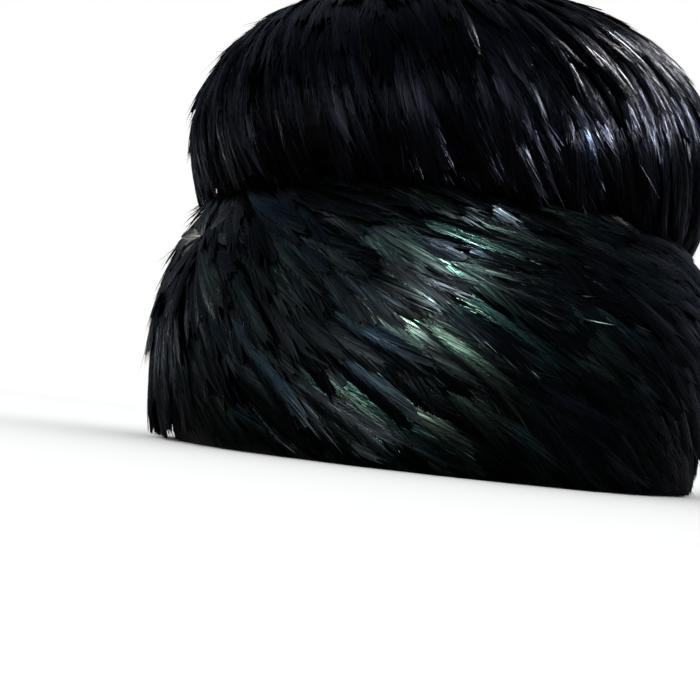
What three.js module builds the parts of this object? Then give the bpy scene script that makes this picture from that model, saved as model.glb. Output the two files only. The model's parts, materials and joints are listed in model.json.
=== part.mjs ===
// A two-tier cocktail hat covered in black cockerel feathers. Two hollow felt forms carry it: a bell-shaped
// band that goes round the head, and a rounded crown that stands on the band's waist. Strips of feathers are
// sewn round both in courses, each lapped over the root of the next one down, like shingles. The crown's
// feathers fan out from the middle of the top, and the band's are brushed round the head on a slant.
// Millimetres. +X is the wearer's left, -Y the front, +Z up, and the rim stands on z = 0.

import * as THREE from "three";
import { LoftGeometry } from "three/addons/geometries/LoftGeometry.js";

// The felt forms, without their feathers
const hatHalfWidth = 87;
const hatHalfDepth = 104;
const bandHeight = 84;
const crownHeight = 60;
const feltThickness = 2;
const seamGap = 0.3;

// The feather courses
const quillSeat = 0.9; // from the felt to the strip that the quills are sewn to
const vaneThickness = 1.0; // a lock at its edges
const vaneRidge = 0.7; // how far a lock's middle stands above its edges
const lapClearance = 1.3; // between a course and the one that it laps over
const tipSpring = 0.8; // how far the tips stand off beyond that
const notchDepth = 0.22; // how far up the gap between two tips reaches, as a share of a lock
const tipRaggedness = 0.07; // how uneven the tips are, as a share of a lock
const raggedStep = 1.7; // radians of the wave that makes them so, from one column to the next

// How far the band's feathers lean from straight down, in degrees: most a little to the left of the middle of
// the front, and least right across the head from there
const mostLean = 52;
const leastLean = 12;
const mostLeanAt = -75; // round the hat from +X

const feltSegments = 32;

// Sections of the felt, from the top down. up is a share of the form's height above its foot, and out a share
// of the hat's half width and half depth. Below crownTop the crown's felt turns in to its foot, while its
// feathers hang on over the waist.
const crownTop = [
  { up: 1.0, out: 0.02 },
  { up: 0.985, out: 0.22 },
  { up: 0.94, out: 0.43 },
  { up: 0.84, out: 0.625 },
  { up: 0.72, out: 0.76 },
  { up: 0.555, out: 0.855 },
  { up: 0.375, out: 0.91 },
  { up: 0.195, out: 0.925 },
];
const crownUnderside = [
  { up: 0.105, out: 0.89 },
  { up: 0.06, out: 0.8 },
  { up: 0.035, out: 0.7 },
  { up: 0.0, out: 0.69 },
];
const crownOverhang = [
  { up: 0.035, out: 0.9 },
  { up: -0.1, out: 0.86 },
];
const bandSides = [
  { up: 1.0, out: 0.69 },
  { up: 0.97, out: 0.72 },
  { up: 0.885, out: 0.83 },
  { up: 0.775, out: 0.89 },
  { up: 0.64, out: 0.938 },
  { up: 0.48, out: 0.972 },
  { up: 0.32, out: 0.972 },
  { up: 0.15, out: 0.948 },
  { up: 0.0, out: 0.904 },
];

// Courses of feathers. root and tip are shares of the way down the form, locks is how many go round, and turn
// the degrees that a lock winds round the hat from its root to its tip.
const crownCourses = [
  { root: 0.015, tip: 0.34, locks: 14, turn: 24 },
  { root: 0.2, tip: 0.58, locks: 22, turn: 20 },
  { root: 0.42, tip: 0.8, locks: 28, turn: 15 },
  { root: 0.64, tip: 1.0, locks: 32, turn: 12 },
];
const bandCourses = [
  { root: 0.05, tip: 0.47, locks: 30 },
  { root: 0.3, tip: 0.72, locks: 30 },
  { root: 0.55, tip: 0.965, locks: 30 },
];

// Rows along one lock, as shares: how far its underside has risen over the next course and sprung off it, how
// thick its edges are, and how high its ridge.
const lockRows = [
  { along: 0.0, risen: 0.0, sprung: 0.0, edge: 0.8, ridge: 0.5 },
  { along: 0.2, risen: 0.0, sprung: 0.0, edge: 1.0, ridge: 1.0 },
  { along: 0.38, risen: 0.15, sprung: 0.0, edge: 1.0, ridge: 1.0 },
  { along: 0.58, risen: 1.0, sprung: 0.0, edge: 1.0, ridge: 1.0 },
  { along: 0.8, risen: 1.0, sprung: 0.5, edge: 0.9, ridge: 0.9 },
  { along: 1.0, risen: 1.0, sprung: 1.0, edge: 0.7, ridge: 0.6 },
];

const meanHalf = (hatHalfWidth + hatHalfDepth) / 2;
const lapRise = vaneThickness + vaneRidge + lapClearance;

// The line of a form's sections, drawn on the mean of its half width and half depth
function lineOf(sections, foot, height) {
  const points = sections.map(({ up, out }) => new THREE.Vector2(out * meanHalf, foot + up * height));
  return new THREE.SplineCurve(points);
}

// A point over the oval form: at and heading say where on its line, angle where round it, lift how far out
function pointOver(at, heading, angle, lift) {
  const share = at.x / meanHalf;
  const sideways = -heading.y * lift;
  return new THREE.Vector3(
    (share * hatHalfWidth + sideways) * Math.cos(angle),
    (share * hatHalfDepth + sideways) * Math.sin(angle),
    at.y + heading.x * lift,
  );
}

// A hollow felt wall with its edges cut level, turned round and then drawn out to the oval
function feltForm(line, { closedTop }) {
  const outside = line.points.map((_, i) => line.getPoint(i / (line.points.length - 1)));
  const inside = line.points.map((_, i) => {
    const heading = line.getTangent(i / (line.points.length - 1));
    return new THREE.Vector2(heading.y, -heading.x).multiplyScalar(feltThickness).add(outside[i]);
  });
  inside.at(-1).y = outside.at(-1).y;
  if (!closedTop) inside[0].y = outside[0].y;
  const profile = [...outside, ...inside.reverse()];
  if (closedTop) {
    profile.unshift(new THREE.Vector2(0, outside[0].y));
    profile.push(new THREE.Vector2(0, outside[0].y - feltThickness));
  } else {
    profile.push(outside[0]);
  }
  const wall = new THREE.LatheGeometry(profile.reverse(), feltSegments);
  return wall.rotateX(Math.PI / 2).scale(hatHalfWidth / meanHalf, hatHalfDepth / meanHalf, 1);
}

// The value of one of lockRows' columns part of the way along a lock
function alongLock(column, along) {
  const next = lockRows.findIndex((row) => row.along >= along);
  if (next <= 0) return lockRows[0][column];
  const [from, to] = [lockRows[next - 1], lockRows[next]];
  return THREE.MathUtils.mapLinear(along, from.along, to.along, from[column], to[column]);
}

function undersideLift(along) {
  return quillSeat + alongLock("risen", along) * lapRise + alongLock("sprung", along) * tipSpring;
}

function topLift(along, onRidge) {
  const ridge = onRidge ? alongLock("ridge", along) * vaneRidge : 0;
  return undersideLift(along) + alongLock("edge", along) * vaneThickness + ridge;
}

// One course: locks fused side by side, each ridged down its middle and pointed at its tip, and half a lock
// on from those of the course before. turnAt gives how far a lock winds round from the angle of its root.
function featherCourse(line, { root, tip, locks }, number, turnAt) {
  const columns = 2 * locks;
  const ring = (row, isTop) => {
    const points = [];
    for (let i = 0; i < columns; i++) {
      const onRidge = i % 2 === 0;
      const ragged = 1 - tipRaggedness * Math.abs(Math.sin(i * raggedStep + number));
      const along = row.along * (onRidge ? ragged : 1 - notchDepth);
      const down = root + (tip - root) * along;
      const rootAngle = (-(i + number) / columns) * 2 * Math.PI;
      const angle = rootAngle + turnAt(rootAngle) * along;
      const lift = isTop ? topLift(along, onRidge) : undersideLift(along);
      points.push(pointOver(line.getPointAt(down), line.getTangentAt(down), angle, lift));
    }
    return points;
  };
  const top = lockRows.map((row) => ring(row, true));
  const underside = lockRows.map((row) => ring(row, false)).reverse();
  return new LoftGeometry([...top, ...underside, top[0]]);
}

// How far a lock on the band winds round, for its lean there and the length that it runs down
function bandTurn(line, { root, tip }, rootAngle) {
  const near = 0.5 + 0.5 * Math.cos(rootAngle - THREE.MathUtils.degToRad(mostLeanAt));
  const lean = THREE.MathUtils.degToRad(THREE.MathUtils.lerp(leastLean, mostLean, near));
  return ((tip - root) * line.getLength() * Math.tan(lean)) / meanHalf;
}

const felt = new THREE.MeshStandardMaterial({ color: 0x0b0b0d, roughness: 0.95, metalness: 0 });
const crownFeather = new THREE.MeshStandardMaterial({ color: 0x0a0c14, roughness: 0.35, metalness: 0.2 });
const bandFeather = new THREE.MeshStandardMaterial({ color: 0x0a1714, roughness: 0.35, metalness: 0.3 });

const hat = new THREE.Group();

function addPiece(name, geometry, material) {
  const mesh = new THREE.Mesh(geometry, material);
  mesh.name = name;
  hat.add(mesh);
}

const crownFoot = bandHeight + seamGap;
const bandLine = lineOf(bandSides, 0, bandHeight);
const crownLine = lineOf([...crownTop, ...crownUnderside], crownFoot, crownHeight);
const crownDrape = lineOf([...crownTop, ...crownOverhang], crownFoot, crownHeight);

addPiece("band_form", feltForm(bandLine, { closedTop: false }), felt);
addPiece("crown_form", feltForm(crownLine, { closedTop: true }), felt);

crownCourses.forEach((course, i) => {
  const turnAt = () => THREE.MathUtils.degToRad(course.turn);
  addPiece(`crown_feathers_${i + 1}`, featherCourse(crownDrape, course, i, turnAt), crownFeather);
});

bandCourses.forEach((course, i) => {
  const turnAt = (rootAngle) => bandTurn(bandLine, course, rootAngle);
  addPiece(`band_feathers_${i + 1}`, featherCourse(bandLine, course, i + 1, turnAt), bandFeather);
});

export default hat;
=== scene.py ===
import json
import math

import bpy
import numpy as np
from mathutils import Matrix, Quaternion, Vector

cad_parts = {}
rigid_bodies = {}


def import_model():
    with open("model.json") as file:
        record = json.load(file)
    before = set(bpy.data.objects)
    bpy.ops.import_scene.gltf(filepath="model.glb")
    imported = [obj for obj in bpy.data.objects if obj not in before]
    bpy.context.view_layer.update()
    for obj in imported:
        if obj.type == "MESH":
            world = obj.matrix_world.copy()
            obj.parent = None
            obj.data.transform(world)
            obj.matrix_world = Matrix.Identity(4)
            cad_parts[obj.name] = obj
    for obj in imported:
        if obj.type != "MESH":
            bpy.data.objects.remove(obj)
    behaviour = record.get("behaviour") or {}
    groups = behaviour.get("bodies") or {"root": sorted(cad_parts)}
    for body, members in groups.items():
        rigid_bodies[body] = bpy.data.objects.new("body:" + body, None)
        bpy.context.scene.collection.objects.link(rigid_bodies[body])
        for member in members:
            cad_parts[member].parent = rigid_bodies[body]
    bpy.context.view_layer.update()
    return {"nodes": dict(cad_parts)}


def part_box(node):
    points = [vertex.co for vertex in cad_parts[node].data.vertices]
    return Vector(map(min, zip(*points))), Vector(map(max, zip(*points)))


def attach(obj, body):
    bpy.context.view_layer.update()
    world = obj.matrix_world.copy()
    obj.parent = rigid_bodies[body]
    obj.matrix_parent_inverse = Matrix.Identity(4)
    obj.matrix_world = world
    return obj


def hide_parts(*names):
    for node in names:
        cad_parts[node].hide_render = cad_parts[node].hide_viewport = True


# A two-tier cocktail hat covered in black feathers. The felt keeps its form and only gets its material. Each
# course of feathers is laid anew, feather by feather, each with a quill, a closed vane and loose barbs.

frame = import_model()
millimetre = 0.001
print("frame loaded:", len(frame["nodes"]), "nodes")


# The felt's line from the top down, as in the part: share of the form's height, share of the hat's half width
crownDrape = [
    (1.0, 0.02), (0.985, 0.22), (0.94, 0.43), (0.84, 0.625), (0.72, 0.76), (0.555, 0.855), (0.375, 0.91),
    (0.195, 0.925), (0.035, 0.9), (-0.1, 0.86),
]
bandSides = [
    (1.0, 0.69), (0.97, 0.72), (0.885, 0.83), (0.775, 0.89), (0.64, 0.938), (0.48, 0.972), (0.32, 0.972),
    (0.15, 0.948), (0.0, 0.904),
]
lineSteps = 16  # from one section to the next

bandLow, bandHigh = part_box("band_form")
crownLow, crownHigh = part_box("crown_form")
widestShare = max(out for up, out in bandSides)
halfWidth = bandHigh[0] / widestShare
halfDepth = bandHigh[1] / widestShare
meanHalf = (halfWidth + halfDepth) / 2


def smoothThrough(points, steps):
    # a curve through the points, with the same number of steps between each two
    points = np.array(points, float)
    padded = np.vstack([2 * points[0] - points[1], points, 2 * points[-1] - points[-2]])
    rows = []
    for i in range(1, len(padded) - 2):
        a, b, c, d = padded[i - 1:i + 3]
        for t in np.arange(steps) / steps:
            rows.append(0.5 * (2 * b + (c - a) * t + (2 * a - 5 * b + 4 * c - d) * t ** 2
                               + (3 * b - a - 3 * c + d) * t ** 3))
    rows.append(points[-1])
    return np.array(rows)


def feltLine(sections, foot, height):
    line = smoothThrough([(out * meanHalf, foot + up * height) for up, out in sections], lineSteps)
    steps = np.linalg.norm(np.diff(line, axis=0), axis=1)
    run = np.concatenate([[0], np.cumsum(steps)])
    heading = np.gradient(line, run, axis=0)
    heading /= np.linalg.norm(heading, axis=1, keepdims=True)
    return {"run": run / run[-1], "length": run[-1], "out": line[:, 0], "up": line[:, 1],
            "headOut": heading[:, 0], "headUp": heading[:, 1]}


def onForm(line, down, angle, lift):
    # down is the share of the way down the line, angle goes round from +X, lift is out from the felt
    out = np.interp(down, line["run"], line["out"]) / meanHalf
    headOut = np.interp(down, line["run"], line["headOut"])
    headUp = np.interp(down, line["run"], line["headUp"])
    past = np.maximum(down - 1, 0) * line["length"]  # beyond the last section the line runs straight on
    out = out + past * headOut / meanHalf
    up = np.interp(down, line["run"], line["up"]) + past * headUp
    return np.stack([
        (out * halfWidth - headUp * lift) * np.cos(angle),
        (out * halfDepth - headUp * lift) * np.sin(angle),
        up + headOut * lift,
    ], -1)


crownLine = feltLine(crownDrape, crownLow[2], crownHigh[2] - crownLow[2])
bandLine = feltLine(bandSides, bandLow[2], bandHigh[2] - bandLow[2])


def unit(v):
    return v / np.maximum(np.linalg.norm(v, axis=-1, keepdims=True), 1e-12)


def fromTable(place, table):
    return np.interp(place, list(table), list(table.values()))


def halfTurn(degrees):
    return (degrees + 180) % 360 - 180  # the same direction, from -180 to 180


# Feathers of the crown: narrow hackles that fan out from the middle of the top
crownFeather = {
    "length": 60.0,  # mm
    "vaneHalf": 3.0,  # mm from the quill to where the barbs end
    "barbAngle": 7,  # degrees between barb and quill
    "barbs": 22,  # loose barb ends on each side
    "barbWidth": 0.3,  # mm
    "rows": 14,  # of the closed vane, along the quill
    "arch": 0.1,  # how far the vane curves down from its quill, per mm squared
    "rise": {0: 0.9, 0.3: 2.6, 0.7: 4.1, 1: 4.6},  # share of its length, mm over the felt
    "stack": 0.6,  # mm, how unevenly feathers lie on each other
    "bend": (4, 7),  # degrees that the lean changes along the feather, mean and scatter
    "leanScatter": 5,  # degrees
    "twist": 10,  # degrees that a vane turns about its quill
    # which way they are brushed: degrees round the hat from +X, and degrees from straight down
    "brushed": {-180: 10, -135: 16, -90: 32, -45: 44, 0: 42, 90: 26, 180: 10},
}
# Feathers of the band: broader tail feathers, brushed round the head on a slant
bandFeather = {
    "length": 60.0,
    "vaneHalf": 4.0,
    "barbAngle": 8.5,
    "barbs": 26,
    "barbWidth": 0.34,
    "rows": 16,
    "arch": 0.06,
    "rise": {0: 0.9, 0.3: 2.2, 0.7: 4.0, 1: 4.8},
    "stack": 0.8,
    "bend": (-10, 8),
    "leanScatter": 6,
    "twist": 9,
    "brushed": {-180: 8, -166: 10, -156: 28, -146: 48, -134: 58, -120: 62, -90: 65, -30: 67, 0: 60, 60: 45,
                120: 24, 180: 8},
}
# Limits that every feather keeps to
limits = {
    "sizes": (0.7, 1.25),  # against the usual length and width
    "sizeScatter": 0.12,
    "leans": (-25, 84),  # degrees from straight down
    "twist": 19,  # degrees
    "stack": 0.9,  # mm
    "shortest": 0.25,  # share of its length that a feather keeps where its course starts near the top
    "rootsWithin": 0.06,  # share of the felt's line, down from its start, where the highest roots lie
    "start": 0.004,  # share of the felt's line that nothing lies above
}

# Each course's tips lie between two shares of the way down the line, and atEdge is the share of its feathers
# that end at the lower one, which is ragged by a share too. lean is added to the way that the feathers are
# brushed, spring is how many mm the most curled tips stand off, and barbsPast how many mm the barbs reach
# beyond the quill's tip.
crownCourses = [
    {"node": "crown_feathers_1", "name": "crown_hackles_1", "feathers": 110, "tips": (0.12, 0.36),
     "atEdge": 0.0, "ragged": 0.02, "lean": 4, "middle": True},
    {"node": "crown_feathers_2", "name": "crown_hackles_2", "feathers": 240, "tips": (0.34, 0.60),
     "atEdge": 0.0, "ragged": 0.02, "lean": 2},
    {"node": "crown_feathers_3", "name": "crown_hackles_3", "feathers": 370, "tips": (0.56, 0.82),
     "atEdge": 0.0, "ragged": 0.02, "lean": 0},
    {"node": "crown_feathers_4", "name": "crown_hackles_4", "feathers": 560, "tips": (0.78, 1.0),
     "atEdge": 0.5, "ragged": 0.03, "lean": -3, "spring": 1.5},
]
bandCourses = [
    {"node": "band_feathers_1", "name": "band_plumes_1", "feathers": 300, "tips": (0.14, 0.48),
     "atEdge": 0.0, "ragged": 0.02, "lean": 14, "whorl": True},
    {"node": "band_feathers_2", "name": "band_plumes_2", "feathers": 340, "tips": (0.42, 0.74),
     "atEdge": 0.0, "ragged": 0.02, "lean": 0},
    {"node": "band_feathers_3", "name": "band_plumes_3", "feathers": 400, "tips": (0.68, 0.975),
     "atEdge": 0.45, "ragged": 0.03, "lean": -3, "spring": 2.5, "barbsPast": 2.5},
]
usualSpring = 1.0  # mm

quillSteps = 25  # points along a quill


def brushedAt(angle, course, look):
    return fromTable(halfTurn(np.degrees(angle)), look["brushed"]) + course["lean"]


def windRound(line, angle0, down, leanAlong, stepRun):
    # angle round the hat along each quill, from how far it leans and the oval's radius on the way
    share = np.maximum(np.interp(down, line["run"], line["out"]) / meanHalf, 0.1)
    angle = np.repeat(angle0[:, None], quillSteps, 1)
    for _ in range(2):
        radius = share * np.hypot(halfWidth * np.sin(angle), halfDepth * np.cos(angle))
        stepRound = stepRun[:, None] * np.sin(leanAlong) / radius
        angle = angle0[:, None] + np.cumsum(stepRound, axis=1) - stepRound[:, :1]
    return angle


def quillSet(middle, away, angle, down, twist, size, soft):
    # quills by their middle lines, with the directions across each vane and away from the felt
    length = np.linalg.norm(np.diff(middle, axis=1), axis=-1).sum(1)
    along = unit(np.gradient(middle, axis=1))
    across = unit(np.cross(along, away))
    away = unit(np.cross(across, along))
    turn = twist[:, None, None] * np.linspace(0.4, 1, quillSteps)[None, :, None]
    turned = across * np.cos(turn) + away * np.sin(turn)
    away = away * np.cos(turn) - across * np.sin(turn)
    return {"middle": middle, "along": along, "across": turned, "away": away, "length": length,
            "angle": angle, "down": down, "size": size, "soft": soft}


def quillsOver(line, angle, down, lift, twist, size, soft):
    middle = onForm(line, down, angle, lift)
    away = unit(onForm(line, down, angle, lift + millimetre) - middle)
    return quillSet(middle, away, angle, down, twist, size, soft)


def layQuills(line, course, look, rng):
    # every feather in a course
    count = course["feathers"]
    angle0 = 2 * np.pi * (np.arange(count) + rng.uniform(-0.5, 0.5, count)) / count
    low, high = course["tips"]
    edge = high - np.abs(rng.normal(0, course["ragged"], count))
    tip = np.where(rng.random(count) < course["atEdge"], edge, rng.uniform(low, high, count))
    size = np.clip(rng.normal(1, limits["sizeScatter"], count), *limits["sizes"])
    t = np.linspace(0, 1, quillSteps)

    lean = brushedAt(angle0, course, look) + rng.normal(0, look["leanScatter"], count)
    tip = tip - course.get("barbsPast", 0) * millimetre * np.cos(np.radians(lean)) / line["length"]
    bend = rng.normal(*look["bend"], count)
    leanAlong = np.radians(np.clip(lean[:, None] + bend[:, None] * (t - 0.5), *limits["leans"]))

    length = look["length"] * millimetre
    drop = np.cumsum(np.cos(leanAlong), axis=1)
    drop = (drop - drop[:, :1]) / quillSteps * (length / line["length"]) * size[:, None]
    highest = rng.uniform(0.0, limits["rootsWithin"], count)
    fit = np.clip((tip - highest) / drop[:, -1], limits["shortest"], 1)
    drop = drop * fit[:, None]
    down = np.maximum((tip - drop[:, -1])[:, None] + drop, limits["start"])
    angle = windRound(line, angle0, down, leanAlong, length * size * fit / (quillSteps - 1))
    angle = angle - (angle[:, quillSteps // 2] - angle0)[:, None] * 0.5

    layer = rng.normal(0, look["stack"] * 0.5, count)[:, None] * np.clip(t * 2.0, 0.2, 1)
    layer = np.clip(layer, -limits["stack"], limits["stack"])
    curl = rng.random(count)[:, None] ** 4 * course.get("spring", usualSpring) * t ** 3
    lift = (fromTable(t, look["rise"]) + layer + curl) * millimetre
    twist = rng.standard_t(3, count) * look["twist"]  # a few turn much more than the others
    twist = np.radians(np.clip(twist, -limits["twist"], limits["twist"]))
    return quillsOver(line, angle, down, lift, twist, size * np.sqrt(fit), np.zeros(count))


# At the band's upper left the feathers part round a whorl, where soft grey ones show. Each has its lean in
# degrees, its length in mm, its width as a share of the others' and how downy it is.
whorl = {
    "at": (-144, 0.0575),  # degrees round the hat, and metres up
    "lift": (3.7, 4.4),  # mm over the felt at root and tip
    "layer": 0.15,  # mm from one feather to the next over it
    "scatter": 0.9,  # mm, how far apart the roots are
    "bend": 8,  # degrees
    "twist": 5,
    "barbAngle": 20,
    "feathers": [
        (-108, 14, 0.9, 0.6), (-92, 18, 1.0, 0.85), (-76, 18, 0.9, 0.7), (-55, 22, 0.75, 0.15),
        (-32, 25, 0.8, 0.0), (-8, 27, 0.8, 0.0), (14, 28, 0.8, 0.0), (34, 29, 0.9, 0.0),
        (50, 28, 1.2, 0.12), (66, 27, 0.9, 0.0), (86, 23, 0.8, 0.1), (112, 14, 0.7, 0.4),
        (140, 10, 0.7, 0.5), (-136, 10, 0.8, 0.6),
    ],
    "grey": (0.078, 0.075, 0.073),
}


def layWhorl(line, rng):
    lean, length, width, soft = np.array(whorl["feathers"]).T
    count = len(lean)
    t = np.linspace(0, 1, quillSteps)
    around, up = whorl["at"]
    scatter = whorl["scatter"] * millimetre
    leanAlong = np.radians(lean[:, None] + rng.normal(0, whorl["bend"], count)[:, None] * (t - 0.5))
    stepRun = length * millimetre / (quillSteps - 1)
    start = np.interp(-up, -line["up"], line["run"]) + rng.normal(0, scatter, count) / line["length"]
    down = start[:, None] + np.cumsum(np.cos(leanAlong), axis=1) * stepRun[:, None] / line["length"]
    angle0 = np.radians(around) + rng.normal(0, scatter, count) / meanHalf
    angle = windRound(line, angle0, down, leanAlong, stepRun)
    low, high = whorl["lift"]
    lift = (low + (high - low) * t + whorl["layer"] * rng.permutation(count)[:, None]) * millimetre
    twist = np.radians(rng.normal(0, whorl["twist"], count))
    return quillsOver(line, angle, np.maximum(down, limits["start"]), lift, twist, width, soft)


# Short feathers over the middle of the crown's top, where the first course starts
crownMiddle = {
    "feathers": 22,
    "length": 19,  # mm
    "sizes": (0.75, 1.05),
    "behind": 4,  # mm that each reaches past the middle, behind its root
    "lift": (2.3, 3.5),  # mm over the top of the felt at root and tip
    "layer": 0.06,
    "fall": 2.2,  # mm that the tips lie lower, as the crown rounds off
    "swirl": 55,  # degrees that they turn round the middle
    "twist": 6,
    "barbAngle": 15,
}


def layMiddle(rng):
    look = crownMiddle
    count = look["feathers"]
    t = np.linspace(0, 1, quillSteps)
    size = rng.uniform(*look["sizes"], count)
    turn = 2 * np.pi * (np.arange(count) + rng.uniform(-0.4, 0.4, count)) / count
    heading = turn[:, None] + math.radians(look["swirl"]) * (t - 0.2)
    step = look["length"] * millimetre * size[:, None] / (quillSteps - 1)
    behind = look["behind"] * millimetre
    x = np.cumsum(np.cos(heading) * step, axis=1) - behind * np.cos(turn)[:, None]
    y = np.cumsum(np.sin(heading) * step, axis=1) - behind * np.sin(turn)[:, None]
    low, high = look["lift"]
    lift = low + (high - low) * t - look["fall"] * t ** 2 + look["layer"] * rng.permutation(count)[:, None]
    middle = np.stack([x, y, crownHigh[2] + lift * millimetre], -1)
    away = np.broadcast_to([0.0, 0.0, 1.0], middle.shape)
    twist = np.radians(rng.normal(0, look["twist"], count))
    flat = np.zeros((count, quillSteps))
    return quillSet(middle, away, flat, flat, twist, size, np.zeros(count))


def alongQuill(quills, key, owner, t):
    # value of a quill's line part of the way along; past its end the line runs straight on
    place = np.clip(t, 0, 0.99999) * (quillSteps - 1)
    low = place.astype(int)
    part = (place - low)[..., None]
    values = quills[key]
    result = values[owner, low] * (1 - part) + values[owner, low + 1] * part
    if key == "middle":
        past = np.maximum(t - 1, 0)[..., None] * quills["length"][owner][..., None]
        result = result + past * quills["along"][owner, -1]
    return result


# How far the barbs reach sideways, as a share of the most, by how far along the quill they spring
vaneOutline = {0: 0.3, 0.1: 0.72, 0.3: 1.0, 0.65: 0.9, 0.8: 0.66, 0.92: 0.34, 1: 0.08}


def placeOver(quills, look, owner, spring, side, reach, raised):
    # point at a sideways reach on the barb that springs from the quill at spring, how far along the quill it
    # lies, and the way away from the felt there
    t = spring + reach / math.tan(math.radians(look["barbAngle"])) / quills["length"][owner]
    middle = alongQuill(quills, "middle", owner, t)
    across = alongQuill(quills, "across", owner, t)
    away = alongQuill(quills, "away", owner, t)
    droop = look["arch"] * (reach / millimetre) ** 2 * millimetre
    points = middle + across * (side * reach)[..., None] + away * (raised - droop)[..., None]
    return points, t, away


# Steps on the barb map, so that no two feathers and no two sides of one show the same strands
nextFeather = 13.7
nextSide = 3.1


def barbRun(reach, look):
    return reach / math.sin(math.radians(look["barbAngle"])) / millimetre  # mm along a barb


def gridFaces(count, rows, columns):
    corner = np.arange(rows - 1)[:, None] * columns + np.arange(columns - 1)
    quads = np.stack([corner, corner + 1, corner + columns + 1, corner + columns], -1).reshape(-1, 4)
    return (np.arange(count)[:, None, None] * rows * columns + quads).reshape(-1, 4)


vane = {
    "columns": (-0.9, -0.5, 0.0, 0.5, 0.9),  # shares of the half width
    "from": 0.02,  # shares of the quill's length
    "to": 0.97,
    "ripple": 0.07,  # mm
    "gloss": 0.6,  # of the glossiest, where a loose barb's is 1
}


def layVanes(quills, look, rng):
    # the closed part of each vane, a curved leaf of rows that follow the barbs
    count, rows = len(quills["size"]), look["rows"]
    columns = np.array(vane["columns"])
    spring = np.repeat(np.linspace(vane["from"], vane["to"], rows)[None], count, 0)
    half = look["vaneHalf"] * millimetre * fromTable(spring, vaneOutline) * quills["size"][:, None]
    shape = (count, rows, len(columns))
    each = rows * len(columns)
    owner = np.broadcast_to(np.arange(count)[:, None, None], shape)
    springs = np.broadcast_to(spring[..., None], shape)
    side = np.broadcast_to(np.sign(columns), shape)
    reach = half[..., None] * np.abs(columns)
    ripple = rng.normal(0, vane["ripple"], (count, rows, 1)) * np.abs(columns) * millimetre
    points, t, away = placeOver(quills, look, owner, springs, side, reach, np.broadcast_to(ripple, shape))
    phase = springs * quills["length"][owner] / millimetre + nextFeather * owner + nextSide * side
    quads = gridFaces(count, rows, len(columns))
    uv = np.stack([phase, barbRun(reach, look)], -1).reshape(-1, 2)
    return {"points": points.reshape(-1, 3), "faces": quads, "uv": uv[quads.ravel()],
            "owner": owner.ravel(), "t": t.ravel(), "strand": np.repeat(rng.random(count), each),
            "gloss": np.repeat(rng.random(count) ** 3 * vane["gloss"], each)}


def ribbonFaces(count, steps):
    # each ribbon has pairs of points and one at its end
    pairs = steps - 1
    each = 2 * pairs + 1
    quads = np.arange(pairs - 1)[:, None] * 2 + np.array([0, 1, 3, 2])
    starts = np.arange(count)[:, None, None] * each
    ends = np.array([2 * pairs - 2, 2 * pairs - 1, 2 * pairs])
    return (starts + quads).reshape(-1, 4), (np.arange(count)[:, None] * each + ends).reshape(-1, 3)


def pairUp(values):
    # one value for each point of a ribbon, from one for each step
    return np.concatenate([np.repeat(values[:, :-1], 2, 1), values[:, -1:]], 1)


def ribbons(centre, edge, halves):
    left = centre - edge * halves[..., None]
    right = centre + edge * halves[..., None]
    pairs = np.stack([left[:, :-1], right[:, :-1]], 2).reshape(len(centre), -1, 3)
    return np.concatenate([pairs, centre[:, -1:]], 1)


barb = {
    "widths": (1.0, 1.0, 0.75, 0.0),  # from where it leaves the closed vane to its end, a share for each step
    "widthScatter": 0.12,
    "from": 0.35,  # share of the half width where it leaves the closed vane
    "lengths": (0.8, 1.25),  # shares of the half width where it ends
    "lengthScatter": 0.07,
    "past": 0.15,  # mm beyond that
    "clump": 4,  # barbs that lean together
    "clumping": 0.45,
    "raised": (0.04, 0.09),  # mm over the closed vane, where it leaves it and at its end
    "raisedScatter": 0.02,
    "loose": {"share": 0.03, "stands": (0.5, 2.2)},  # mm that the ends of such barbs stand off
    "wild": {"share": 0.003, "stands": (2, 5)},
    "tilt": 2.5,  # degrees
}
barbsFrom, barbsOver = 0.03, 0.95  # shares of the quill's length: where its barbs start, and how far they go


def standingOff(kind, total, rng):
    return (rng.random(total) < kind["share"]) * rng.uniform(*kind["stands"], total)


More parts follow.
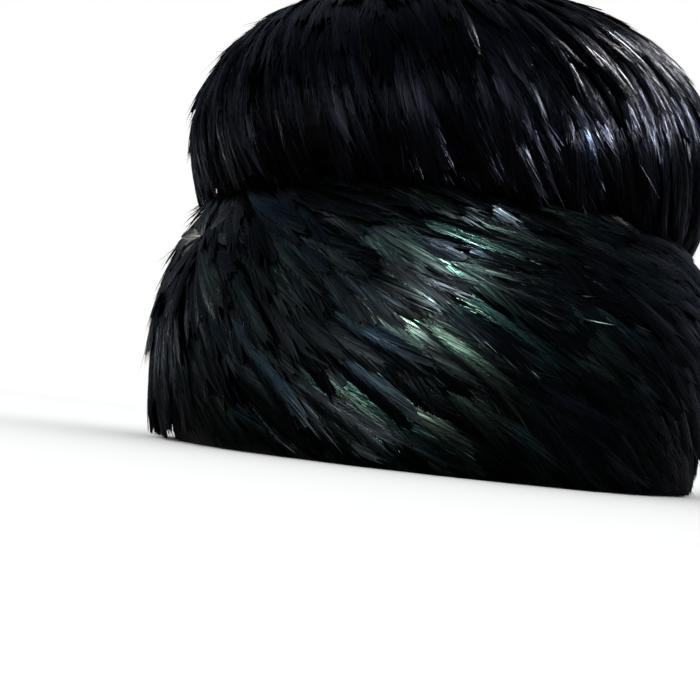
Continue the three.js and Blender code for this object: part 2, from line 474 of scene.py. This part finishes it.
def layBarbs(quills, look, rng):
    # loose ends of the barbs, along both edges and round the tip
    count, perSide = len(quills["size"]), look["barbs"]
    total = count * 2 * perSide
    owner = np.repeat(np.arange(count), 2 * perSide)
    side = np.tile(np.repeat([-1.0, 1.0], perSide), count)
    number = np.tile(np.arange(perSide), 2 * count)
    spring = barbsFrom + barbsOver * (number + rng.uniform(-0.3, 0.3, total)) / perSide
    middleOne = number // barb["clump"] * barb["clump"] + (barb["clump"] - 1) / 2
    clump = barbsFrom + barbsOver * middleOne / perSide
    half = look["vaneHalf"] * millimetre * fromTable(spring, vaneOutline) * quills["size"][owner]

    steps = len(barb["widths"])
    grow = np.linspace(0, 1, steps)
    near = half * barb["from"]
    far = half * np.clip(rng.normal(1.0, barb["lengthScatter"], total), *barb["lengths"])
    far = far + barb["past"] * millimetre
    reach = near[:, None] + (far - near)[:, None] * grow
    springs = spring[:, None] + (clump - spring)[:, None] * barb["clumping"] * grow ** 2
    loose = standingOff(barb["loose"], total, rng)
    loose = loose + standingOff(barb["wild"], total, rng)
    low, high = barb["raised"]
    raised = low + (high - low) * grow + loose[:, None] * grow ** 2
    raised = (raised + rng.normal(0, barb["raisedScatter"], (total, 1))) * millimetre
    owners = np.repeat(owner[:, None], steps, 1)
    sides = np.repeat(side[:, None], steps, 1)
    centre, t, away = placeOver(quills, look, owners, springs, sides, reach, raised)

    heading = unit(np.gradient(centre, axis=1))
    slope = 2 * look["arch"] * reach / millimetre * sides  # the barb lies as the arched vane does there
    edge = unit(unit(np.cross(heading, away)) - away * slope[..., None])
    tilt = np.radians(rng.normal(0, barb["tilt"], total))[:, None, None]
    edge = edge * np.cos(tilt) + np.cross(heading, edge) * np.sin(tilt)
    halves = np.array(barb["widths"]) * look["barbWidth"] / 2 * millimetre
    points = ribbons(centre, edge, halves * rng.normal(1, barb["widthScatter"], total)[:, None])

    quads, tips = ribbonFaces(total, steps)
    each = points.shape[1]
    phase = spring * quills["length"][owner] / millimetre + nextFeather * owner + nextSide * side
    uv = np.stack([np.repeat(phase, each), barbRun(pairUp(reach), look).ravel()], -1)
    return {"points": points.reshape(-1, 3), "faces": quads, "tips": tips,
            "uv": np.concatenate([uv[quads.ravel()], uv[tips.ravel()]]), "owner": np.repeat(owner, each),
            "t": pairUp(t).ravel(), "strand": np.repeat(rng.random(total), each),
            "gloss": np.repeat(rng.random(total) ** 3, each)}


shaft = {
    "steps": 6,
    "to": 0.97,  # share of the quill's length
    "halves": (0.26, 0.06),  # mm, at root and tip
    "raised": 0.1,  # mm
    "strand": 1.6,  # brighter than any barb
    "gloss": 1.0,
}


def layShafts(quills):
    count, steps = len(quills["size"]), shaft["steps"]
    t = np.repeat(np.linspace(0.0, shaft["to"], steps)[None], count, 0)
    owner = np.repeat(np.arange(count)[:, None], steps, 1)
    raised = alongQuill(quills, "away", owner, t) * shaft["raised"] * millimetre
    centre = alongQuill(quills, "middle", owner, t) + raised
    across = alongQuill(quills, "across", owner, t)
    points = ribbons(centre, across, np.linspace(*shaft["halves"], steps) * millimetre * np.ones((count, 1)))
    quads, tips = ribbonFaces(count, steps)
    each = points.shape[1]
    owner = np.repeat(np.arange(count), each)
    uv = np.stack([nextFeather * owner + 0.5, pairUp(t).ravel() * 20], -1)
    return {"points": points.reshape(-1, 3), "faces": quads, "tips": tips,
            "uv": np.concatenate([uv[quads.ravel()], uv[tips.ravel()]]), "owner": owner,
            "t": pairUp(t).ravel(), "strand": np.full(count * each, shaft["strand"]),
            "gloss": np.full(count * each, shaft["gloss"])}


# Colours that the feathers give back in their gloss: black ones hardly any
crownColours = {
    "black": (0.0155, 0.0165, 0.0225),
    "blue": (0.020, 0.030, 0.048),
    "blueShare": 0.22,  # of the feathers
    "shine": (0.5, 1.9),  # of the dullest feather and the glossiest one, against their colour
    "strands": (0.85, 1.15),  # of the dullest strand and the glossiest one in a feather
}
bandColours = {
    "black": (0.0130, 0.0162, 0.0175),
    "green": (0.36, 0.56, 0.37),
    "teal": (0.18, 0.45, 0.39),
    "blue": (0.031, 0.064, 0.088),
    "blueShare": 0.3,
    "blueAt": (-140, 42),  # the bluest side: degrees round the hat, how wide
    "leastBlue": 0.08,  # on the far side from there
    "shine": (0.45, 1.55),
    "strands": (0.7, 1.3),
    # painted sheen, partly the feathers' own green: green patches gathered where the light catches the
    # iridescent band in front;
    # degrees round the hat and share of the way down of their middle, how far they reach both ways, and how
    # green they are
    "sheenPatches": [
        {"at": (-88, 0.42), "reach": (17, 0.24), "strength": 0.5},
        {"at": (-103, 0.76), "reach": (12, 0.14), "strength": 0.6},
    ],
    "elsewhere": 0.12,  # how green the feathers round the rest of the band are, their own colour
    "greens": (-1.1, 1.3),  # of the least green feather and the greenest one; below 0 is black
}


def pastMiddle(t):
    return np.exp(-((t - 0.62) / 0.3) ** 2)  # a feather shines most past its middle


def another(chance, times):
    return (chance * times) % 1  # a further random number from a feather's own


def between(ends, share):
    low, high = ends
    return low + (high - low) * share


# The colour of each point, from where its feather lies, a random number from 0 to 1 for the feather, one for
# the strand, and how far along the feather the point is. The crown's is the same all round.
def crownTint(angle, down, feather, strand, t):
    look = crownColours
    black, blue = np.array(look["black"]), np.array(look["blue"])
    blueness = np.clip((feather - 1 + look["blueShare"]) / look["blueShare"], 0, 1) * pastMiddle(t)
    rgb = black + (blue - black) * blueness[:, None]
    shine = between(look["shine"], another(feather, 5.3) ** 2.5)
    return rgb * (shine * between(look["strands"], strand))[:, None]


def bandTint(angle, down, feather, strand, t):
    look = bandColours
    black, green, teal, blue = (np.array(look[name]) for name in ("black", "green", "teal", "blue"))
    degrees = halfTurn(np.degrees(angle))
    # painted sheen: the patches make the band greener where the light catches it in front, and less blue
    # there
    paintedSheen = 0
    for spot in look["sheenPatches"]:
        (atAngle, atDown), (wide, deep) = spot["at"], spot["reach"]
        off = ((degrees - atAngle) / wide) ** 2 + ((down - atDown) / deep) ** 2
        paintedSheen = np.maximum(paintedSheen, spot["strength"] * np.exp(-off))
    waves = 0.5 + 0.5 * np.sin(4 * angle + 2.5 * np.sin(2 * angle) + 5 * down)
    amount = paintedSheen + look["elsewhere"] * waves * (1 - paintedSheen)
    greenness = np.clip(amount * between(look["greens"], feather), 0, 1) * pastMiddle(t)
    greenness = greenness * (0.4 + 0.6 * strand)
    tealShare = np.clip(strand * 0.6 + another(feather, 7.3) * 0.8 - 0.2, 0, 1)
    middle, wide = look["blueAt"]
    bluest = between((look["leastBlue"], 1), np.exp(-(halfTurn(degrees - middle) / wide) ** 2))
    blueness = np.clip((look["blueShare"] - feather) / look["blueShare"], 0, 1) * pastMiddle(t)
    blueness = blueness * bluest * (1 - paintedSheen)
    shiny = green + (teal - green) * tealShare[:, None]
    rgb = black + (shiny - black) * greenness[:, None] + (blue - black) * blueness[:, None]
    shine = between(look["shine"], another(feather, 5.3))
    return rgb * (shine * between(look["strands"], strand))[:, None]


lowest = 0.4 * millimetre  # tips lie on the surface, not below it


def meshOf(name, parts, tints, softness):
    # one mesh of several sets of points and faces; a set's map runs over its four-sided faces, then its ends
    counts = [len(part["points"]) for part in parts]
    offsets = np.concatenate([[0], np.cumsum(counts)[:-1]])
    points = np.concatenate([part["points"] for part in parts])
    points[:, 2] = np.maximum(points[:, 2], lowest)
    corners, sizes = [], []
    for part, offset in zip(parts, offsets):
        for faces in (part["faces"], part.get("tips")):
            if faces is not None:
                corners.append(faces.ravel() + offset)
                sizes.append(np.full(len(faces), faces.shape[1]))
    corners, sizes = np.concatenate(corners), np.concatenate(sizes)
    uvs = np.concatenate([part["uv"] for part in parts])

    mesh = bpy.data.meshes.new(name)
    mesh.vertices.add(len(points))
    mesh.vertices.foreach_set("co", points.astype(np.float32).ravel())
    mesh.loops.add(len(corners))
    mesh.loops.foreach_set("vertex_index", corners.astype(np.int32))
    mesh.polygons.add(len(sizes))
    starts = np.concatenate([[0], np.cumsum(sizes)[:-1]])
    mesh.polygons.foreach_set("loop_start", starts.astype(np.int32))
    mesh.polygons.foreach_set("use_smooth", np.ones(len(sizes), bool))
    mesh.update(calc_edges=True)

    barbMap = mesh.uv_layers.new(name="barbMap")
    barbMap.data.foreach_set("uv", uvs.astype(np.float32).ravel())
    colour = mesh.attributes.new("tint", "FLOAT_COLOR", "POINT")
    gloss = np.concatenate([part["gloss"] for part in parts])  # the last value: how wet a strand looks
    rgba = np.concatenate([tints, gloss[:, None]], 1)
    colour.data.foreach_set("color", rgba.astype(np.float32).ravel())
    downy = mesh.attributes.new("softness", "FLOAT", "POINT")
    downy.data.foreach_set("value", softness.astype(np.float32))
    return mesh


def featherPiece(course, line, look, tintOf, material, slot, seed):
    rng = np.random.default_rng(seed)
    sets = [(layQuills(line, course, look, rng), look)]
    if course.get("whorl"):
        sets.append((layWhorl(line, rng), {**look, "barbAngle": whorl["barbAngle"]}))
    if course.get("middle"):
        sets.append((layMiddle(rng), {**look, "barbAngle": crownMiddle["barbAngle"]}))
    parts = []
    first = 0
    for quills, form in sets:
        for part in (layVanes(quills, form, rng), layBarbs(quills, form, rng), layShafts(quills)):
            parts.append({**part, "owner": part["owner"] + first})
        first += len(quills["size"])

    quills = {key: np.concatenate([q[key] for q, _ in sets]) for key in ("size", "angle", "down", "soft")}
    owner, t, strand = (np.concatenate([part[key] for part in parts]) for key in ("owner", "t", "strand"))
    feather = rng.random(len(quills["size"]))[owner]
    middle = quillSteps // 2
    tints = tintOf(quills["angle"][owner, middle], quills["down"][owner, middle], feather, strand, t)
    softness = np.clip(quills["soft"][owner] * (1.35 - t), 0, 1)  # downy at the root, glossy at the tip
    grey = np.array(whorl["grey"]) * (0.5 + strand[:, None])
    tints = tints + (grey - tints) * softness[:, None]

    piece = bpy.data.objects.new(course["name"], meshOf(course["name"], parts, tints, softness))
    bpy.context.scene.collection.objects.link(piece)
    piece.data.materials.append(material)
    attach(piece, "root")
    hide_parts(course["node"])
    return sum(len(part["faces"]) * 2 + len(part.get("tips", ())) for part in parts)


# Materials

def newMaterial(name):
    material = bpy.data.materials.new(name)
    material.use_nodes = True
    tree = material.node_tree
    return material, tree, tree.nodes["Principled BSDF"]


def addNode(tree, kind, x, y, **values):
    node = tree.nodes.new(kind)
    node.location = (x, y)
    for key, value in values.items():
        setattr(node, key, value)
    return node


def setInputs(node, values):
    for name, value in values.items():
        node.inputs[name].default_value = value


def mapRange(tree, x, y, source, low, high, toLow, toHigh):
    node = addNode(tree, "ShaderNodeMapRange", x, y)
    setInputs(node, {"From Min": low, "From Max": high, "To Min": toLow, "To Max": toHigh})
    tree.links.new(source, node.inputs["Value"])
    return node.outputs["Result"]


wetRoughness = 0.13
downRoughness = 0.9


def featherMaterial(name, roughness, downy=False):
    # barbs that only shine: their colour is what they give back of the light, streaked along the barbs
    material, tree, shader = newMaterial(name)
    link = tree.links.new
    tint = addNode(tree, "ShaderNodeAttribute", -700, 300, attribute_name="tint")
    barbMap = addNode(tree, "ShaderNodeUVMap", -1300, -100, uv_map="barbMap")
    stretch = addNode(tree, "ShaderNodeMapping", -1100, -100)
    stretch.inputs["Scale"].default_value = (0.62, 0.05, 1.0)  # fine across the barbs, long down them
    link(barbMap.outputs["UV"], stretch.inputs["Vector"])
    strands = addNode(tree, "ShaderNodeTexNoise", -900, -100)
    setInputs(strands, {"Scale": 1.0, "Detail": 3.0, "Roughness": 0.65})
    link(stretch.outputs["Vector"], strands.inputs["Vector"])
    gain = mapRange(tree, -650, 100, strands.outputs["Fac"], 0.36, 0.66, 0.4, 1.8)
    colour = addNode(tree, "ShaderNodeVectorMath", -300, 300, operation="SCALE")
    link(tint.outputs["Color"], colour.inputs[0])
    link(gain, colour.inputs["Scale"])
    link(colour.outputs["Vector"], shader.inputs["Base Color"])
    rough = mapRange(tree, -650, -150, strands.outputs["Fac"], 0.3, 0.7, *roughness)
    wet = addNode(tree, "ShaderNodeMix", -300, 0, data_type="FLOAT")
    wet.inputs["B"].default_value = wetRoughness
    link(tint.outputs["Alpha"], wet.inputs["Factor"])
    link(rough, wet.inputs["A"])
    if downy:
        softness = addNode(tree, "ShaderNodeAttribute", -700, -450, attribute_name="softness")
        matt = addNode(tree, "ShaderNodeMix", -150, 0, data_type="FLOAT")
        matt.inputs["B"].default_value = downRoughness
        link(softness.outputs["Fac"], matt.inputs["Factor"])
        link(wet.outputs["Result"], matt.inputs["A"])
        link(matt.outputs["Result"], shader.inputs["Roughness"])
        metal = mapRange(tree, -350, -550, softness.outputs["Fac"], 0.0, 1.0, 1.0, 0.0)
        link(metal, shader.inputs["Metallic"])
    else:
        link(wet.outputs["Result"], shader.inputs["Roughness"])
        shader.inputs["Metallic"].default_value = 1.0
    bump = addNode(tree, "ShaderNodeBump", -450, -350)
    setInputs(bump, {"Strength": 0.5, "Distance": 0.2 * millimetre})
    link(strands.outputs["Fac"], bump.inputs["Height"])
    link(bump.outputs["Normal"], shader.inputs["Normal"])
    return material


def feltMaterial():
    material, tree, shader = newMaterial("blackFelt")
    link = tree.links.new
    place = addNode(tree, "ShaderNodeTexCoord", -900, 0)
    fibres = addNode(tree, "ShaderNodeTexNoise", -700, 0)
    setInputs(fibres, {"Scale": 900.0, "Detail": 4.0})
    link(place.outputs["Object"], fibres.inputs["Vector"])
    ramp = addNode(tree, "ShaderNodeValToRGB", -450, 100)
    ramp.color_ramp.elements[0].color = (0.004, 0.004, 0.005, 1)
    ramp.color_ramp.elements[1].color = (0.020, 0.020, 0.022, 1)
    link(fibres.outputs["Fac"], ramp.inputs["Fac"])
    link(ramp.outputs["Color"], shader.inputs["Base Color"])
    bump = addNode(tree, "ShaderNodeBump", -450, -200)
    setInputs(bump, {"Strength": 0.6, "Distance": 0.4 * millimetre})
    link(fibres.outputs["Fac"], bump.inputs["Height"])
    link(bump.outputs["Normal"], shader.inputs["Normal"])
    setInputs(shader, {"Roughness": 0.95, "Specular IOR Level": 0.15})
    return material


felt = feltMaterial()
for node in ("band_form", "crown_form"):
    form = frame["nodes"][node]
    form.data.materials.clear()
    form.data.materials.append(felt)

crown = {
    "line": crownLine,
    "look": crownFeather,
    "tintOf": crownTint,
    "material": featherMaterial("crownHackle", (0.18, 0.32)),
    "slot": "crown_feather",
}
band = {
    "line": bandLine,
    "look": bandFeather,
    "tintOf": bandTint,
    "material": featherMaterial("bandPlume", (0.2, 0.34), downy=True),
    "slot": "band_feather",
}
for tier, courses, firstSeed in ((crown, crownCourses, 11), (band, bandCourses, 31)):
    for i, course in enumerate(courses):
        triangles = featherPiece(course, seed=firstSeed + i, **tier)
        print("laid", course["name"], triangles, "triangles")


# Studio: a white floor that runs into a white room, soft lights and the camera

studio = {
    "floorColour": (0.93, 0.93, 0.92),
    "floorHalf": 6.0,  # m
    "roomShown": 1.0,  # white behind the hat
    "roomLight": 1.14,  # what the room sheds on things
    "roomGloss": (0.10, 0.115, 0.155),  # what the feathers mirror of it
    "floorGloss": (0.06, 0.06, 0.065),  # and of the floor
}


def paleFloor():
    half = studio["floorHalf"]
    corners = [(-half, -half, 0), (half, -half, 0), (half, half, 0), (-half, half, 0)]
    mesh = bpy.data.meshes.new("floor")
    mesh.from_pydata(corners, [], [(0, 1, 2, 3)])
    floor = bpy.data.objects.new("floor", mesh)
    bpy.context.scene.collection.objects.link(floor)
    material, tree, shader = newMaterial("paleFloor")
    path = addNode(tree, "ShaderNodeLightPath", -500, 200)
    shade = addNode(tree, "ShaderNodeMix", -250, 200, data_type="RGBA")
    tree.links.new(path.outputs["Is Glossy Ray"], shade.inputs["Factor"])
    setInputs(shade, {"A": (*studio["floorColour"], 1), "B": (*studio["floorGloss"], 1)})
    tree.links.new(shade.outputs["Result"], shader.inputs["Base Color"])
    setInputs(shader, {"Roughness": 0.8, "Specular IOR Level": 0.1})
    mesh.materials.append(material)


def background(tree, x, y, colour, strength):
    node = addNode(tree, "ShaderNodeBackground", x, y)
    setInputs(node, {"Color": (*colour, 1), "Strength": strength})
    return node.outputs["Background"]


def studioRoom():
    world = bpy.data.worlds.new("studioRoom")
    bpy.context.scene.world = world
    world.use_nodes = True
    tree = world.node_tree
    tree.nodes.remove(tree.nodes["Background"])
    shown = background(tree, 0, 0, (1, 1, 1), studio["roomShown"])
    shed = background(tree, 0, -150, (0.98, 0.99, 1), studio["roomLight"])
    mirrored = background(tree, 0, -300, studio["roomGloss"], 1.0)
    path = addNode(tree, "ShaderNodeLightPath", 0, 350)
    gloss = addNode(tree, "ShaderNodeMixShader", 250, -100)
    tree.links.new(path.outputs["Is Glossy Ray"], gloss.inputs["Fac"])
    tree.links.new(shed, gloss.inputs[1])
    tree.links.new(mirrored, gloss.inputs[2])
    seen = addNode(tree, "ShaderNodeMixShader", 500, 0)
    tree.links.new(path.outputs["Is Camera Ray"], seen.inputs["Fac"])
    tree.links.new(gloss.outputs["Shader"], seen.inputs[1])
    tree.links.new(shown, seen.inputs[2])
    tree.links.new(seen.outputs["Shader"], tree.nodes["World Output"].inputs["Surface"])


# Place, aim, size across and along in metres, and watts. The photo's hat is tilted, so its tiers catch the
# light unequally; this one stands level, so the lights with onlyOn fall on the courses of one tier alone.
lights = {
    "frontLight": {"place": (0.03, -0.72, 0.70), "aim": (0, 0, 0.05), "size": (0.16, 0.08), "watts": 7,
                   "onlyOn": bandCourses},
    "rightLight": {"place": (0.81, -0.12, 0.46), "aim": (0.03, 0, 0.11), "size": (0.06, 0.4), "watts": 10,
                   "onlyOn": crownCourses},
    "rightBackLight": {"place": (0.54, 0.30, 0.80), "aim": (0.03, 0, 0.11), "size": (0.05, 0.3),
                       "watts": 3.2, "onlyOn": crownCourses},
    "rightLowLight": {"place": (0.70, -0.42, 0.12), "aim": (0.03, 0, 0.11), "size": (0.03, 0.12),
                      "watts": 2.6, "onlyOn": crownCourses},
    "leftLight": {"place": (-0.75, 0.40, 0.06), "aim": (-0.05, 0, 0.05), "size": (0.03, 0.15),
                  "watts": 0.08},
    "frontFill": {"place": (-0.35, -1.1, 0.25), "aim": (0, 0, 0.06), "size": (1.0, 0.7), "watts": 1.0},
    "bandFill": {"place": (-0.3, -1.0, 0.10), "aim": (0, 0, 0.04), "size": (0.8, 0.18), "watts": 2.2,
                 "onlyOn": bandCourses},
    "leftFill": {"place": (-0.95, -0.65, 0.28), "aim": (0, 0, 0.06), "size": (1.6, 1.0), "watts": 2.4},
}


def softLight(name, place, aim, size, watts, onlyOn=()):
    light = bpy.data.lights.new(name, "AREA")
    light.shape = "RECTANGLE"
    light.size, light.size_y = size
    light.energy = watts
    holder = bpy.data.objects.new(name, light)
    holder.location = place
    holder.rotation_mode = "QUATERNION"
    holder.rotation_quaternion = (Vector(aim) - Vector(place)).to_track_quat("-Z", "Y")
    bpy.context.scene.collection.objects.link(holder)
    if onlyOn:
        lit = bpy.data.collections.new(name + "Falls")
        for course in onlyOn:
            lit.objects.link(bpy.data.objects[course["name"]])
        holder.light_linking.receiver_collection = lit


photoView = {
    "pixels": 700,
    "focal": 1372,  # pixels
    "distance": 0.45,  # m, from the middle of the hat
    "height": 0.010,  # m, over the floor
    "aim": 0.076,  # m, the height over the middle of the hat that lands on the pixel below
    "pixel": (443, 235),  # across and down
    "roll": 6,  # degrees clockwise
}


def photoCamera():
    data = bpy.data.cameras.new("photoCamera")
    data.sensor_width = 36
    data.lens = photoView["focal"] / photoView["pixels"] * data.sensor_width
    data.clip_start = 0.01
    camera = bpy.data.objects.new("photoCamera", data)
    bpy.context.scene.collection.objects.link(camera)
    place = Vector((0, -photoView["distance"], photoView["height"]))
    facing = (Vector((0, 0, photoView["aim"])) - place).to_track_quat("-Z", "Y")
    rolled = facing @ Quaternion((0, 0, 1), math.radians(photoView["roll"]))
    half = photoView["pixels"] / 2
    across, down = photoView["pixel"]
    ray = Vector(((across - half) / photoView["focal"], (half - down) / photoView["focal"], -1))
    camera.rotation_mode = "QUATERNION"
    camera.rotation_quaternion = rolled @ ray.rotation_difference(Vector((0, 0, -1)))
    camera.location = place
    bpy.context.scene.camera = camera


paleFloor()
studioRoom()
for name, light in lights.items():
    softLight(name, **light)
photoCamera()
bpy.context.scene.view_settings.view_transform = "Standard"
print("studio ready")
